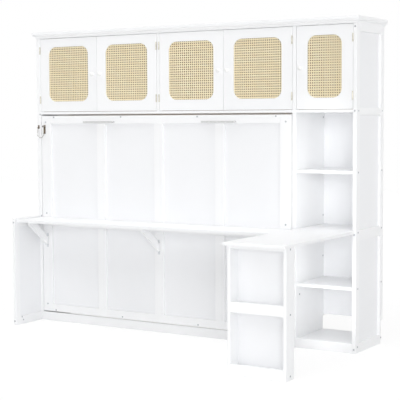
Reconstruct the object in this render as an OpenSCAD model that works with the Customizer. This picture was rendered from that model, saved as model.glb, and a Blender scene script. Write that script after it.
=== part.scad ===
// Wall bed with a fold-down desk, a row of cupboards above it, an open
// shelf bay beside it and a return desk that stands on an end rack.
// The drawing frame has X from the left side, Y from the front plane to the
// back and Z from the floor; placed() moves it to the bottom centre.

/* [Cabinet] */
// Depth from the front plane to the back
cabinet_d = 428; // [405:1:480]
// Height to the top of the crown
cabinet_h = 2086; // [2060:1:2200]
// Clear width of the bed bay
bed_bay_w = 2036; // [1990:1:2200]
// Clear width of the shelf bay
shelf_bay_w = 389; // [320:1:600]
// Width of the left posts
left_post_w = 35; // [28:1:50]
// Width of the right posts
right_post_w = 25; // [22:1:40]
// Depth of the side posts
post_d = 50; // [40:1:60]
// Thickness of the board between the bed bay and the shelf bay
divider_t = 27.5; // [18:0.5:35]
// Thickness of the shelves and of the cupboard boards
board_t = 18; // [15:1:22]
// Thickness of the thin panels of the sides and backs
panel_t = 6; // [4:0.5:9]
// Set-back of the side panels from the outer faces of the sides
side_panel_recess = 15; // [8:0.5:16]
// Height of the skirting notch at the back
notch_h = 150; // [60:1:180]
// Depth of the skirting notch at the back
notch_d = 30; // [10:1:40]
// Distance from the back panels to the rear plane
back_inset = 12; // [8:1:20]
// Height of the plinth rails
plinth_h = 61; // [45:1:80]
// Thickness of the plinth, front and back rails
rail_t = 20; // [15:1:25]

/* [Side rails] */
// Height of the lower side rails
side_rail_low_h = 60; // [40:1:100]
// Underside of the middle side rails
side_rail_mid_z = 705; // [600:1:720]
// Height of the middle side rails
side_rail_mid_h = 65; // [40:1:90]
// Height of the side rails at the cupboard floor
side_rail_floor_h = 44; // [30:1:70]
// Height of the top side rails
side_rail_top_h = 71; // [40:1:100]

/* [Crown] */
// Thickness of the crown board
crown_t = 20; // [15:1:30]
// Projection of the crown board at the front and sides
crown_out = 23; // [15:1:35]
// Height of the cove moulding under the crown board
cove_h = 25; // [20:1:30]
// Projection of the cove moulding
cove_out = 20; // [14:1:20]
// Thickness of the moulding at its foot
cove_foot = 3; // [2:0.5:5]
// Height of the front rail above the doors
top_rail_h = 26; // [20:1:40]
// Space between the cupboard top boards and the crown board
top_board_drop = 36; // [30:1:60]

/* [Cupboards] */
// Underside of the cupboard floor
cupboard_z = 1498; // [1494:1:1530]
// Thickness of the partition between the middle doors
partition_t = 20; // [15:1:30]
// Thickness of the doors
door_t = 18; // [16:1:22]
// Gap around the doors
door_gap = 2; // [2:0.1:3]
// Width of the door stiles beside the cane
door_stile_w = 75; // [60:1:90]
// Width of the door rail above the cane
door_rail_top_w = 61; // [50:1:80]
// Width of the door rail below the cane
door_rail_low_w = 72; // [50:1:90]
// Corner radius of the cane opening
cane_r = 58; // [20:1:80]
// Thickness of the cane sheet
cane_t = 1.5; // [1:0.1:3]
// Depth from the door front to the cane
cane_inset = 9; // [5:0.5:11]
// Overlap of the cane behind the edge of its opening
cane_lap = 8; // [5:0.5:12]
// Radius of the knobs
knob_r = 14.5; // [10:0.5:18]
// Distance of the knobs from the free edge of the door
knob_in = 32; // [20:1:50]
// Projection of the knobs
knob_out = 27; // [22:1:35]

/* [Door hinges] */
// Height of a hinge
hinge_h = 50; // [40:1:70]
// Radius of the hinge barrel
hinge_r = 4; // [3:0.1:4.5]
// Distance of the hinge pin in front of the door
hinge_out = 4.5; // [4.5:0.1:6]
// Radius of the hinge pin
hinge_pin_r = 1.5; // [1:0.1:2]
// Depth of the leaves between the door edge and the cabinet
hinge_leaf_d = 16; // [10:1:16]
// Distance of the upper hinges below the door top
hinge_top_in = 83; // [60:1:150]
// Distance of the lower hinges above the door bottom
hinge_low_in = 84; // [60:1:150]

/* [Shelf bay] */
// Underside of the upper shelf
shelf_high_z = 1118; // [900:1:1300]
// Underside of the lower shelf
shelf_low_z = 395; // [250:1:500]
// Underside of the bay back panel
bay_back_z = 158; // [120:1:250]

/* [Return desk] */
// Top of the return desk
return_top = 764; // [740:1:790]
// Reach of the return desk in front of the cabinet
return_reach = 926; // [700:1:1100]
// Distance of its right edge from the right side of the cabinet
return_right_in = 13; // [0:1:13]
// Clearance between the return desk and the bay
return_gap = 2; // [0.5:0.5:4]
// Height of the cleats that carry the return desk
cleat_h = 30; // [20:1:45]

/* [End rack] */
// Distance of the rack behind the front edge of the return desk
rack_front_in = 20; // [5:1:60]
// Depth of the rack
rack_d = 98; // [80:1:200]
// Distance of the left rack side from the left edge of the return desk
rack_left_in = 20; // [0:1:60]
// Distance of the right rack side from the right edge of the return desk
rack_right_in = 2; // [0:1:30]
// Underside of the rack's middle shelf
rack_shelf_z = 362; // [250:1:450]
// Height of the rail in front of the middle shelf
rack_rail_h = 62; // [40:1:90]
// Height of the rail at the foot of the rack
rack_foot_h = 65; // [40:1:90]
// Thickness of the rack rails
rack_rail_t = 15; // [12:1:20]
// Underside of the rack's bottom shelf
rack_floor_z = 15; // [5:1:40]

/* [Leg panel] */
// Thickness of the leg panel
leg_t = 20; // [18:1:25]
// Reach of the leg panel in front of the cabinet
leg_reach = 290; // [270:1:400]
// Height of the leg panel
leg_h = 763; // [740:1:790]
// Height of the rails of the leg panel
leg_rail_h = 60; // [40:1:80]

/* [Bed] */
// Gap between the bed and the sides of its bay
bed_gap = 4; // [4:0.5:8]
// Gap between the bed and the plinth
bed_gap_low = 8; // [8:1:15]
// Gap between the bed and the cupboard floor
bed_gap_top = 11; // [11:1:20]
// Thickness of the face frame
face_t = 20; // [16:1:25]
// Width of the outer stiles
stile_w = 84; // [60:1:110]
// Width of the inner stiles
inner_stile_w = 70; // [50:1:90]
// Height of the top rail
face_rail_top_h = 56; // [45:1:90]
// Height of the bottom rail
face_rail_low_h = 52; // [40:1:90]
// Height of the middle rail
face_rail_mid_h = 70; // [60:1:100]
// Set-back of the face panels
face_recess = 15; // [8:0.5:15]
// Number of panel columns
face_columns = 4; // [2:1:6]
// Distance of the bed box from the ends of the face
box_inset = 27.5; // [25:0.5:40]
// Distance from the right end of the face to the bed box
box_inset_right = 32.5; // [25:0.5:40]
// Thickness of the rails of the bed box
box_rail_t = 20; // [16:1:25]
// Depth of the bed box behind the face
box_d = 150; // [120:1:160]
// Width of the slats
slat_w = 75; // [50:1:90]
// Thickness of the slats
slat_t = 18; // [12:1:22]
// Number of slats
slat_count = 12; // [8:1:14]
// Side of the square ledges under the slats
ledge = 20; // [15:1:30]

/* [Bed pivot] */
// Distance of the bed pivot behind the front plane
pivot_y = 60; // [58:0.5:62]
// Height of the bed pivot
pivot_z = 357; // [355:0.5:361]
// Radius of the pivot pins
pivot_r = 8; // [6:0.5:10]
// Wall of the pivot bushes
bush_wall = 5; // [3:0.5:8]
// Side of the pivot plates
pivot_plate_w = 80; // [60:1:100]
// Thickness of the pivot plates
pivot_plate_t = 3; // [2:0.1:3]

/* [Fold-down desk] */
// Top of the fold-down desk
desk_top_z = 755; // [735:1:760]
// Depth of the fold-down desk
desk_d = 283.5; // [240:0.5:284]
// Thickness of the fold-down desk
desk_t = 18; // [16:1:20]
// Gap between the folded desk and the bed face
desk_gap = 2.5; // [2:0.1:4]
// Gap between the ends of the desk and of the bed face
desk_end_gap = 1; // [0:0.5:5]
// Distance of the hinge pin from the top and rear of the desk
desk_pin_in = 4.5; // [4.5:0.1:6]
// Number of desk hinges
desk_hinges = 4; // [2:1:6]
// Distance of the end hinges from the ends of the desk
desk_hinge_in = 200; // [150:1:300]
// Width of a desk hinge
desk_hinge_w = 50; // [30:1:70]

/* [Desk braces] */
// Thickness of the braces
brace_t = 18; // [14:1:20]
// Width of the end braces' axes from the ends of the bed face
brace_in = 43; // [30:1:60]
// Underside of the brace at the bed face
brace_z = 560; // [540:1:590]
// Height of the brace at its pivot
brace_end_h = 56; // [40:1:60]
// Reach of the braces from their pivots
brace_reach = 199.5; // [150:0.5:230]
// Height of the blunt nose of the brace
brace_nose_h = 22.5; // [10:0.5:30]
// Length of the brace that touches the desk
brace_seat = 56; // [40:1:80]
// Distance of the brace axes from the bed face
brace_axis_out = 10.5; // [10.5:0.1:14]
// Radius of the brace pins
brace_pin_r = 3; // [2:0.5:4]

/* [Handles and latch] */
// Length of the bar handles
handle_l = 255; // [150:1:320]
// Height of the bar
handle_h = 12; // [8:1:16]
// Thickness of the bar
handle_t = 10; // [6:1:14]
// Projection of the handles
handle_out = 34; // [28:1:45]
// Distance of the handle centres from the ends of the bed face
handle_in = 527; // [300:1:800]
// Distance of the handles below the top of the bed
handle_drop = 45; // [30:1:45]
// Radius of the latch rod
latch_r = 3; // [2:0.5:4]
// Distance of the latch rod from the bed face
latch_out = 16; // [14:1:22]
// Distance of the latch pivot from the end of the bed face
latch_x_in = 28; // [20:1:60]
// Distance of the latch pivot below the top of the bed
latch_drop = 75; // [60:1:120]
// Radius of the bend of the latch
latch_bend_r = 26.5; // [20:0.5:30]
// Length of the arms of the latch
latch_arm = 56; // [40:1:80]
// How far the free end of the latch stays below its pivot
latch_tip_drop = 16; // [0:1:30]

/* [Bolts] */
// Radius of the bolt heads
bolt_r = 6; // [4:0.5:8]
// Height of the bolt heads
bolt_out = 1.5; // [1:0.1:1.8]
// Distance of the bolts from the edges that they hold
bolt_in = 29; // [20:1:30]
// Radius of the wall fixing holes
wall_hole_r = 3.5; // [2.5:0.5:5]
// Distance between the wall fixing holes
wall_hole_pitch = 600; // [300:1:640]

/* [Hidden] */
$fn = 64;
eps = 0.01;
run_gap = 0.05;
seat_gap = 0.02;
swing_gap = 0.5;
white = "#f2f1ee";
panel_white = "#eceae6";
straw = "#e2cfa0";
brass = "#c9a24c";
steel = "#b9bcc0";
grey_bar = "#a9abae";
knob_white = "#fbfbfa";
pine = "#e3c795";
plywood = "#d0b68f";

// Cabinet
divider_x = left_post_w + bed_bay_w;
bay_x = divider_x + divider_t;
bay_x1 = bay_x + shelf_bay_w;
cabinet_w = bay_x1 + right_post_w;
crown_z = cabinet_h - crown_t;
back_y = cabinet_d - back_inset - panel_t;
rear_post_y = cabinet_d - post_d;
notch_y = cabinet_d - notch_d;
floor_z = cupboard_z + board_t;
top_rail_z = crown_z - top_rail_h;
top_board_z = crown_z - top_board_drop - board_t;
partition_x = left_post_w + (bed_bay_w - partition_t) / 2;
partition_x1 = partition_x + partition_t;
stretcher_h = 60;
stretcher_y = back_y - rail_t;
side_rail_cover = 9;
side_rail_floor_z = floor_z + side_rail_cover - side_rail_floor_h;
side_rail_top_z = crown_z - side_rail_top_h;
wall_holes = 4;

// Doors
bed_bay_door_w = (bed_bay_w - partition_t - 6 * door_gap) / 4;
bay_door_w = bay_x1 - bay_x - 2 * door_gap;
door_z = floor_z + door_gap;
door_z1 = top_rail_z - door_gap;
door_xs = [
    left_post_w + door_gap,
    left_post_w + 2 * door_gap + bed_bay_door_w,
    partition_x1 + door_gap,
    partition_x1 + 2 * door_gap + bed_bay_door_w,
    bay_x + door_gap
];
door_ws = [bed_bay_door_w, bed_bay_door_w, bed_bay_door_w, bed_bay_door_w, bay_door_w];
// -1 is a door hinged on its left edge, 1 one hinged on its right edge
door_sides = [-1, 1, -1, 1, 1];
cane_corner_land = 5;
knob_z = (door_z + door_z1) / 2;
knuckle_h = hinge_h / 3;
knuckle_gap = 0.15;
leaf_play = 0.1;
leaf_y = hinge_r + 0.3;
knuckle_root = hinge_r * 0.75;

// Return desk and rack
return_x = bay_x + return_gap;
return_x1 = cabinet_w - return_right_in;
return_z = return_top - board_t;
rack_y = rack_front_in - return_reach;
rack_y1 = rack_y + rack_d;
rack_x = return_x + rack_left_in;
rack_x1 = return_x1 - rack_right_in;
rack_in_x = rack_x + board_t;
rack_in_x1 = rack_x1 - board_t;
rack_top_z = return_z - board_t;
rack_back_y = rack_y1 - panel_t;

// Leg panel
leg_panel_t = 5;
leg_post_y = post_d - leg_reach;

// Bed
bed_x = left_post_w + bed_gap;
bed_x1 = divider_x - bed_gap;
bed_z = plinth_h + bed_gap_low;
bed_z1 = cupboard_z - bed_gap_top;
face_in_x = bed_x + stile_w;
face_in_x1 = bed_x1 - stile_w;
column_w = (face_in_x1 - face_in_x - (face_columns - 1) * inner_stile_w) / face_columns;
face_low_z = bed_z + face_rail_low_h;
face_high_z = bed_z1 - face_rail_top_h;
face_mid_z1 = desk_top_z + 5;
face_mid_z = face_mid_z1 - face_rail_mid_h;
face_rows = [[face_low_z, face_mid_z], [face_mid_z1, face_high_z]];
box_x = bed_x + box_inset;
box_x1 = bed_x1 - box_inset_right;
box_y1 = face_t + box_d;
slat_field = box_x1 - box_x - 2 * box_rail_t;
slat_pitch = (slat_field - slat_count * slat_w) / (slat_count + 1) + slat_w;

// Pivot
bush_r = pivot_r + bush_wall;
bush_flange_r = bush_r + 5;
bush_flange_t = 3;
pivot_block_over = 20;
pivot_block_back = 10;
pivot_block_x = side_panel_recess + panel_t;

// Fold-down desk and braces
desk_x = bed_x + desk_end_gap;
desk_x1 = bed_x1 - desk_end_gap;
desk_z = desk_top_z - desk_t;
desk_axis_y = -desk_gap - desk_pin_in;
desk_axis_z = desk_top_z - desk_pin_in;
desk_knuckle_r = desk_pin_in - 0.5;
desk_notch_w = desk_hinge_w + 4;
desk_pin_r = 1.5;
desk_pin_tail = 15;
desk_leaf_t = 1.5;
desk_leaf_h = 36;
desk_hinge_pitch = (desk_x1 - desk_x - 2 * desk_hinge_in) / (desk_hinges - 1);
brace_xs = [bed_x + brace_in, (bed_x + bed_x1) / 2, bed_x1 - brace_in];
brace_top = desk_z - swing_gap;
brace_notch = 14;
brace_slope = (brace_top - brace_z - brace_end_h) / (brace_reach - brace_seat);
lug_t = 3;
lug_gap = 1;
lug_leaf_h = 22;
lug_leaf_t = 1.2;

// Handles and latch
handle_foot = 14;
handle_z = bed_z1 - handle_drop;
latch_x = bed_x + latch_x_in;
latch_z = bed_z1 - latch_drop;
latch_plate_w = 16;
latch_plate_h = 64;
latch_plate_over = 10;
latch_plate_t = 3;
latch_stud_r = 4;
latch_eye_r = 7;
latch_tip_x = latch_x - 2 * latch_bend_r;
keeper_w = 12;
peg_gap = 1.5;
socket_r = bolt_r / 2;
socket_d = bolt_out * 2 / 3;
bay_bolt_over = 58;

// Moves the drawing frame to the bottom centre of the whole piece
module placed() {
    translate([-cabinet_w / 2, (return_reach - cabinet_d) / 2, 0]) children();
}

// Box between its lowest and its highest corner
module block(low, high) {
    translate(low) cube(high - low);
}

// Rounded rectangle about the origin, made of exact lines and arcs
module rounded_rect(w, h, r) {
    square([w - 2 * r, h], center = true);
    square([w, h - 2 * r], center = true);
    for (x = [-1, 1]) {
        for (y = [-1, 1]) {
            translate([x * (w / 2 - r), y * (h / 2 - r)]) circle(r = r);
        }
    }
}

// Bolt head that looks up, with a hexagon socket
module bolt_head() {
    difference() {
        cylinder(h = bolt_out, r = bolt_r);
        translate([0, 0, bolt_out - socket_d]) {
            cylinder(h = socket_d + eps, r = socket_r, $fn = 6);
        }
    }
}

module front_bolt(x, y, z) {
    translate([x, y, z]) rotate([90, 0, 0]) bolt_head();
}

module right_bolt(x, y, z) {
    translate([x, y, z]) rotate([0, 90, 0]) bolt_head();
}

module left_bolt(x, y, z) {
    translate([x, y, z]) rotate([0, -90, 0]) bolt_head();
}

// Space for a room's skirting, cut from a board's lower rear corner
module skirting_notch() {
    block([-eps, notch_y, -eps], [cabinet_w + eps, cabinet_d + eps, notch_h]);
}

// ---- Cabinet ----

module side_posts() {
    color(white) placed() {
        difference() {
            union() {
                for (y = [0, rear_post_y]) {
                    block([0, y, 0], [left_post_w, y + post_d, crown_z]);
                    block([bay_x1, y, 0], [cabinet_w, y + post_d, crown_z]);
                }
            }
            skirting_notch();
        }
        block([0, -leg_reach, 0], [leg_t, leg_post_y, leg_h]);
    }
}

// Heights of the side rails, each as [underside, top]
function side_rail_levels() = [
    [0, side_rail_low_h],
    [side_rail_mid_z, side_rail_mid_z + side_rail_mid_h],
    [side_rail_floor_z, side_rail_floor_z + side_rail_floor_h],
    [side_rail_top_z, crown_z]
];

module side_rails() {
    color(white) placed() {
        for (level = side_rail_levels()) {
            block([0, post_d, level[0]], [left_post_w, rear_post_y, level[1]]);
            block([bay_x1, post_d, level[0]], [cabinet_w, rear_post_y, level[1]]);
        }
        for (z = [0, leg_h - leg_rail_h]) {
            block([0, leg_post_y, z], [leg_t, 0, z + leg_rail_h]);
        }
    }
}

module side_panels() {
    levels = side_rail_levels();
    inner_x = cabinet_w - side_panel_recess;
    leg_panel_x = (leg_t - leg_panel_t) / 2;
    color(panel_white) placed() {
        for (i = [0 : len(levels) - 2]) {
            low = levels[i][1];
            high = levels[i + 1][0];
            block([side_panel_recess, post_d, low], [side_panel_recess + panel_t, rear_post_y, high]);
            block([inner_x - panel_t, post_d, low], [inner_x, rear_post_y, high]);
        }
        block([leg_panel_x, leg_post_y, leg_rail_h], [leg_panel_x + leg_panel_t, 0, leg_h - leg_rail_h]);
    }
}

module divider_panel() {
    color(white) placed() difference() {
        block([divider_x, 0, 0], [bay_x, cabinet_d, crown_z]);
        skirting_notch();
    }
}

module cupboard_floor_boards() {
    color(white) placed() {
        block([left_post_w, 0, cupboard_z], [divider_x, back_y, floor_z]);
        block([bay_x, 0, cupboard_z], [bay_x1, back_y, floor_z]);
    }
}

module cupboard_top_boards() {
    front_y = door_t + door_gap;
    spans = [[left_post_w, partition_x], [partition_x1, divider_x], [bay_x, bay_x1]];
    color(white) placed() {
        for (span = spans) {
            block([span[0], front_y, top_board_z], [span[1], back_y, top_board_z + board_t]);
        }
    }
}

module cupboard_partition() {
    color(white) placed() block([partition_x, 0, floor_z], [partition_x1, back_y, top_rail_z]);
}

module front_top_rails() {
    color(white) placed() {
        block([left_post_w, 0, top_rail_z], [divider_x, rail_t, crown_z]);
        block([bay_x, 0, top_rail_z], [bay_x1, rail_t, crown_z]);
    }
}

// Two unpainted sheets behind the cupboards
module upper_back_panel() {
    panel_z1 = top_board_z + board_t;
    color(plywood) placed() {
        block([left_post_w, back_y, cupboard_z], [divider_x, back_y + panel_t, panel_z1]);
        block([bay_x, back_y, cupboard_z], [bay_x1, back_y + panel_t, panel_z1]);
    }
}

module bay_back_panel() {
    color(panel_white) placed() {
        block([bay_x, back_y, bay_back_z], [bay_x1, back_y + panel_t, cupboard_z]);
    }
}

// Stretchers behind the bed, the upper one with the wall fixing holes
module back_stretchers() {
    upper_z = cupboard_z - stretcher_h;
    centre_x = left_post_w + bed_bay_w / 2;
    color(white) placed() {
        difference() {
            block([left_post_w, stretcher_y, upper_z], [divider_x, back_y, cupboard_z]);
            for (i = [0 : wall_holes - 1]) {
                hole_x = centre_x + (i - (wall_holes - 1) / 2) * wall_hole_pitch;
                translate([hole_x, back_y + 1, upper_z + stretcher_h / 2]) rotate([90, 0, 0]) {
                    cylinder(h = rail_t + 2, r = wall_hole_r);
                }
            }
        }
        block([left_post_w, stretcher_y, notch_h], [divider_x, back_y, notch_h + stretcher_h]);
    }
}

module plinth_rails() {
    color(white) placed() {
        block([left_post_w, 0, 0], [divider_x, rail_t, plinth_h]);
        block([bay_x, 0, 0], [bay_x1, rail_t, plinth_h]);
    }
}

module bay_shelves() {
    color(white) placed() {
        for (z = [shelf_low_z, shelf_high_z]) {
            block([bay_x, 0, z], [bay_x1, back_y, z + board_t]);
        }
        block([bay_x, rail_t, plinth_h - board_t], [bay_x1, notch_y, plinth_h]);
    }
}

module crown_board() {
    color(white) placed() {
        block([-crown_out, -crown_out, crown_z], [cabinet_w + crown_out, cabinet_d, cabinet_h]);
    }
}

// Section of the cove moulding: the wall is on its left and the crown on top
module cove_section() {
    difference() {
        square([cove_out, cove_h]);
        translate([cove_out, 0]) circle(r = cove_out - cove_foot);
    }
}

module crown_cove_front() {
    plan = [[-cove_out, -cove_out], [cabinet_w + cove_out, -cove_out], [cabinet_w, 0], [0, 0]];
    color(white) placed() translate([0, 0, crown_z - cove_h]) intersection() {
        linear_extrude(height = cove_h) polygon(plan);
        translate([cabinet_w + cove_out, 0, 0]) rotate([90, 0, -90]) {
            linear_extrude(height = cabinet_w + 2 * cove_out) cove_section();
        }
    }
}

// Right return of the moulding, from the mitre to the rear plane
module cove_return() {
    out_x = cabinet_w + cove_out;
    plan = [[cabinet_w, 0], [out_x, -cove_out], [out_x, cabinet_d], [cabinet_w, cabinet_d]];
    intersection() {
        linear_extrude(height = cove_h) polygon(plan);
        translate([cabinet_w, cabinet_d, 0]) rotate([90, 0, 0]) {
            linear_extrude(height = cabinet_d + cove_out) cove_section();
        }
    }
}

module crown_cove_sides() {
    color(white) placed() translate([0, 0, crown_z - cove_h]) {
        cove_return();
        translate([cabinet_w, 0, 0]) mirror([1, 0, 0]) cove_return();
    }
}

module return_desk_top() {
    outline = [
        [return_x, -return_reach], [return_x1, -return_reach], [return_x1, -return_gap],
        [bay_x1 - return_gap, -return_gap], [bay_x1 - return_gap, back_y], [return_x, back_y]
    ];
    color(white) placed() translate([0, 0, return_z]) linear_extrude(height = board_t) polygon(outline);
}

// Cleats under the return desk, and the block behind the left bed pivot
module support_cleats() {
    block_half = pivot_plate_w / 2 + pivot_block_over;
    color(white) placed() {
        block([bay_x, post_d, return_z - cleat_h], [bay_x + board_t, back_y, return_z]);
        block([bay_x1 - board_t, post_d, return_z - cleat_h], [bay_x1, back_y, return_z]);
        block(
            [pivot_block_x, post_d, pivot_z - block_half],
            [left_post_w, pivot_y + pivot_plate_w / 2 + pivot_block_back, pivot_z + block_half]
        );
    }
}

// ---- End rack ----

module rack_sides() {
    color(white) placed() {
        block([rack_x, rack_y, 0], [rack_in_x, rack_y1, return_z]);
        block([rack_in_x1, rack_y, 0], [rack_x1, rack_y1, return_z]);
    }
}

module rack_shelves() {
    shelf_y = rack_y + rack_rail_t;
    color(white) placed() {
        block([rack_in_x, rack_y, rack_top_z], [rack_in_x1, rack_back_y, return_z]);
        for (z = [rack_floor_z, rack_shelf_z]) {
            block([rack_in_x, shelf_y, z], [rack_in_x1, rack_back_y, z + board_t]);
        }
    }
}

module rack_rails() {
    rail_y1 = rack_y + rack_rail_t;
    color(white) placed() {
        block([rack_in_x, rack_y, rack_shelf_z], [rack_in_x1, rail_y1, rack_shelf_z + rack_rail_h]);
        block([rack_in_x, rack_y, 0], [rack_in_x1, rail_y1, rack_foot_h]);
    }
}

module rack_back_panel() {
    color(panel_white) placed() {
        block([rack_in_x, rack_back_y, 0], [rack_in_x1, rack_y1, return_z]);
    }
}

// ---- Cabinet fittings ----

module cabinet_bolts() {
    mid = board_t / 2;
    shelf_levels = [
        cupboard_z + mid, shelf_high_z + mid, return_z + mid, shelf_low_z + mid,
        plinth_h - board_t - mid / 2
    ];
    front_levels = [top_board_z + mid, cupboard_z + mid, return_z - mid / 2, plinth_h - 2 * board_t];
    back_levels = [cupboard_z - bolt_in, return_top + bay_bolt_over, shelf_low_z + bay_bolt_over * 2.7];
    rack_levels = [rack_top_z + mid, rack_shelf_z + mid, rack_floor_z + mid];
    color(steel) placed() {
        for (z = shelf_levels) {
            for (y = [bolt_in, cabinet_d - bolt_in]) {
                right_bolt(cabinet_w, y, z);
                left_bolt(0, y, z);
            }
        }
        for (z = front_levels) {
            front_bolt(bay_x1 + right_post_w / 2, 0, z);
        }
        for (z = [cupboard_z, return_top]) {
            front_bolt(left_post_w - bolt_r - bolt_out, 0, z);
        }
        for (z = back_levels) {
            right_bolt(bay_x, back_y - bolt_in / 2, z);
        }
        right_bolt(bay_x, post_d, shelf_low_z - bay_bolt_over);
        for (z = rack_levels) {
            right_bolt(rack_x1, rack_y + rack_d / 2, z);
            left_bolt(rack_x, rack_y + rack_d / 2, z);
        }
        for (z = [leg_h - bolt_in, bolt_in]) {
            front_bolt(leg_t / 2, -leg_reach, z);
        }
        right_bolt(leg_t, leg_post_y + leg_rail_h / 4, leg_rail_h - bolt_r - bolt_out);
        right_bolt(leg_t, leg_post_y + leg_rail_h / 2, leg_rail_h / 2);
    }
}

// Leaf of a hinge with the given knuckles, drawn on the door's side of the pin
module hinge_leaf(spans) {
    block([leaf_play, leaf_y, 0], [door_gap / 2, hinge_out + hinge_leaf_d, hinge_h]);
    for (span = spans) {
        difference() {
            union() {
                translate([0, 0, span[0]]) cylinder(h = span[1] - span[0], r = hinge_r);
                block([leaf_play, knuckle_root, span[0]], [door_gap / 2, leaf_y + eps, span[1]]);
            }
            translate([0, 0, span[0] - eps]) {
                cylinder(h = span[1] - span[0] + 2 * eps, r = hinge_pin_r + run_gap);
            }
        }
    }
}

// Places children at the pins of a door, mirrored for a door hinged on its right
module at_hinges(n) {
    side = door_sides[n];
    axis_x = side < 0 ? door_xs[n] - door_gap / 2 : door_xs[n] + door_ws[n] + door_gap / 2;
    for (z = [door_z + hinge_low_in - hinge_h / 2, door_z1 - hinge_top_in - hinge_h / 2]) {
        translate([axis_x, -hinge_out, z]) mirror([side < 0 ? 0 : 1, 0, 0]) children();
    }
}

// Cabinet half of a door hinge: two end knuckles, the pin and its heads
module fixed_hinge() {
    mirror([1, 0, 0]) hinge_leaf([[0, knuckle_h - knuckle_gap], [2 * knuckle_h + knuckle_gap, hinge_h]]);
    cylinder(h = hinge_h, r = hinge_pin_r);
    for (z = [-1.5, hinge_h]) {
        translate([0, 0, z]) cylinder(h = 1.5, r = hinge_r - 1);
    }
}

module cabinet_brassware() {
    peg_z = latch_z - latch_tip_drop + peg_gap + latch_r;
    plate_z = peg_z - latch_r - 1;
    color(brass) placed() {
        for (n = [0 : 4]) {
            at_hinges(n) fixed_hinge();
        }
        block(
            [latch_tip_x - keeper_w / 2, -latch_plate_t, plate_z],
            [latch_tip_x + keeper_w / 2, 0, plate_z + 2 * keeper_w]
        );
        translate([latch_tip_x, 0, peg_z]) rotate([90, 0, 0]) {
            cylinder(h = latch_out + latch_r, r = latch_r);
        }
    }
}

// One pivot plate with its pin, the wall on the left
module pivot_plate() {
    half = pivot_plate_w / 2;
    block([0, pivot_y - half, pivot_z - half], [pivot_plate_t, pivot_y + half, pivot_z + half]);
    translate([0, pivot_y, pivot_z]) rotate([0, 90, 0]) {
        cylinder(h = bed_gap + box_inset + box_rail_t, r = pivot_r);
    }
}

module pivot_plates() {
    reach_right = box_inset_right - box_inset;
    color(steel) placed() {
        translate([left_post_w, 0, 0]) pivot_plate();
        translate([divider_x, 0, 0]) mirror([1, 0, 0]) {
            pivot_plate();
            translate([0, pivot_y, pivot_z]) rotate([0, 90, 0]) {
                cylinder(h = bed_gap + box_inset + box_rail_t + reach_right, r = pivot_r);
            }
        }
    }
}

// ---- Bed ----

module bed_outer_stiles() {
    color(white) placed() {
        block([bed_x, 0, bed_z], [face_in_x, face_t, bed_z1]);
        block([face_in_x1, 0, bed_z], [bed_x1, face_t, bed_z1]);
    }
}

module bed_face_rails() {
    levels = [[bed_z, face_low_z], [face_mid_z, face_mid_z1], [face_high_z, bed_z1]];
    color(white) placed() {
        for (level = levels) {
            block([face_in_x, 0, level[0]], [face_in_x1, face_t, level[1]]);
        }
    }
}

module bed_inner_stiles() {
    color(white) placed() {
        for (row = face_rows) {
            for (i = [1 : face_columns - 1]) {
                x = face_in_x + i * (column_w + inner_stile_w) - inner_stile_w;
                block([x, 0, row[0]], [x + inner_stile_w, face_t, row[1]]);
            }
        }
    }
}

module bed_face_panels() {
    color(panel_white) placed() {
        for (row = face_rows) {
            for (i = [0 : face_columns - 1]) {
                x = face_in_x + i * (column_w + inner_stile_w);
                block([x, face_recess, row[0]], [x + column_w, face_t, row[1]]);
            }
        }
    }
}

module bed_side_rails() {
    color(white) placed() {
        for (z = [bed_z, bed_z1 - box_rail_t]) {
            block([box_x, face_t, z], [box_x1, box_y1, z + box_rail_t]);
        }
    }
}

module bed_end_rails() {
    color(white) placed() difference() {
        for (x = [box_x, box_x1 - box_rail_t]) {
            block([x, face_t, bed_z + box_rail_t], [x + box_rail_t, box_y1, bed_z1 - box_rail_t]);
        }
        translate([box_x - 1, pivot_y, pivot_z]) rotate([0, 90, 0]) {
            cylinder(h = box_x1 - box_x + 2, r = bush_r + seat_gap);
        }
    }
}

module slat_ledges() {
    ledge_x = box_x + box_rail_t;
    ledge_x1 = box_x1 - box_rail_t;
    color(pine) placed() {
        for (z = [bed_z + box_rail_t, bed_z1 - box_rail_t - ledge]) {
            block([ledge_x, face_t, z], [ledge_x1, face_t + ledge, z + ledge]);
        }
    }
}

module slats() {
    first_x = box_x + box_rail_t + slat_pitch - slat_w;
    slat_y = face_t + ledge;
    color(pine) placed() {
        for (i = [0 : slat_count - 1]) {
            x = first_x + i * slat_pitch;
            block([x, slat_y, bed_z + box_rail_t], [x + slat_w, slat_y + slat_t, bed_z1 - box_rail_t]);
        }
    }
}

module bed_handles() {
    bar_y = -handle_out;
    color(grey_bar) placed() {
        for (x = [bed_x + handle_in, bed_x1 - handle_in]) {
            block(
                [x - handle_l / 2, bar_y, handle_z - handle_h / 2],
                [x + handle_l / 2, bar_y + handle_t, handle_z + handle_h / 2]
            );
            for (side = [-1, 1]) {
                foot_x = x + side * (handle_l - handle_foot) / 2;
                translate([foot_x, 0, handle_z]) rotate([90, 0, 0]) {
                    cylinder(h = handle_out - handle_t / 2, r = handle_h / 2 - 1);
                }
            }
        }
    }
}

module bed_bolts() {
    outer_in = (stile_w + box_inset + bolt_in) * 0.8;
    inner_in = face_in_x - bed_x + column_w * 1.5;
    stile_levels = [bed_z1 - handle_drop, desk_top_z + bolt_in, face_low_z];
    color(steel) placed() {
        for (x = [bed_x + outer_in, bed_x + inner_in, bed_x1 - inner_in, bed_x1 - outer_in]) {
            front_bolt(x, 0, bed_z1 - box_rail_t / 2);
            front_bolt(x, 0, bed_z + box_rail_t / 2);
        }
        for (z = stile_levels) {
            front_bolt(box_x + box_rail_t / 2, 0, z);
            front_bolt(box_x1 - box_rail_t / 2, 0, z);
        }
    }
}

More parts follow.
